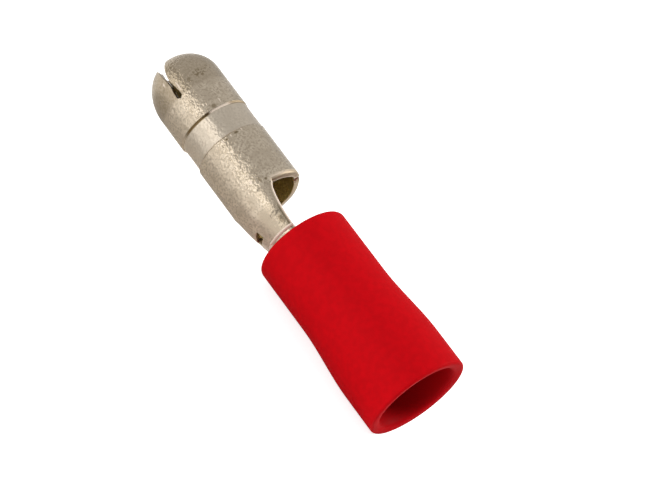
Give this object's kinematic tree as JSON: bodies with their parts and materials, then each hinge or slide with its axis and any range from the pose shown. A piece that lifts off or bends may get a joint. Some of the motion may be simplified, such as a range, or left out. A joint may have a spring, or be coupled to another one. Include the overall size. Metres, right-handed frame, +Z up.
{
  "type": "male round crimp terminal",
  "caption": "Insulated male round crimp terminal: rolled tinned-brass bullet with a slit nose and locking groove, open neck and red PVC sleeve over the crimp barrel.",
  "frame": {"origin": "middle of the terminal's length, on the line that the sleeve lies on", "axes": "+X along the terminal's axis towards the wire mouth, +Z up, with the seam of the rolled sheet turned 52 degrees from +Y towards +Z"},
  "size_m": [0.0224, 0.0056, 0.0055],
  "materials": {
    "tinned_brass": "bright tin plate over stamped and rolled brass sheet",
    "red_pvc": "satin moulded PVC"
  },
  "bodies": {
    "root": {"terminal_body": "tinned_brass", "insulating_sleeve": "red_pvc"}
  },
  "joints": []
}
